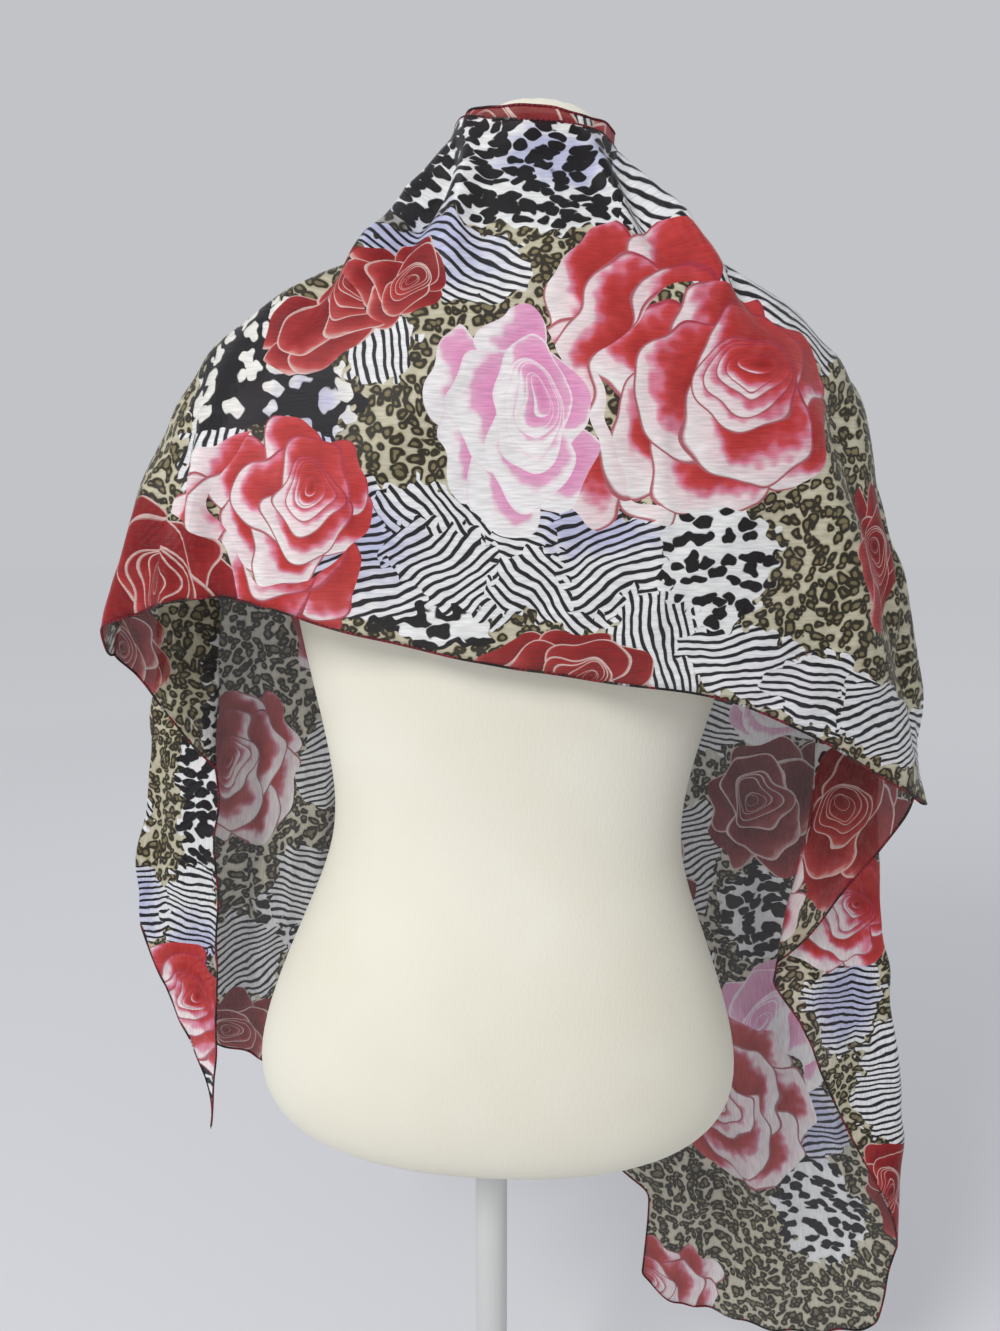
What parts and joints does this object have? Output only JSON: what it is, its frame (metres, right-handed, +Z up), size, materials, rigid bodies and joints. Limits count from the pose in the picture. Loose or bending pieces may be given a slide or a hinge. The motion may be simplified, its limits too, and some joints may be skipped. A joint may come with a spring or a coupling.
{
  "type": "chiffon scarf on a dress form",
  "caption": "Sheer printed scarf worn as a shawl over the shoulders of a limbless dress form on a pole and round base, its two ends hanging down in front.",
  "frame": {"origin": "middle of the base's underside, on the pole's axis", "axes": "+Z up along the pole; the form's back faces -Y and its bust +Y, so +X is to the right of someone looking at the back"},
  "size_m": [0.6002, 0.3, 1.0412],
  "materials": {
    "chiffon": "sheer crepe chiffon, printed",
    "form_shell": "matt cream jersey cover over foam",
    "pole_paint": "light grey satin paint",
    "base_paint": "light grey satin paint"
  },
  "bodies": {
    "root": {"scarf_back": "chiffon", "scarf_neck_turn": "chiffon", "scarf_left_turn": "chiffon", "scarf_left_fall": "chiffon", "scarf_right_turn": "chiffon", "scarf_right_fall": "chiffon", "form_torso": "form_shell", "stand_pole": "pole_paint", "stand_base": "base_paint"}
  },
  "joints": []
}
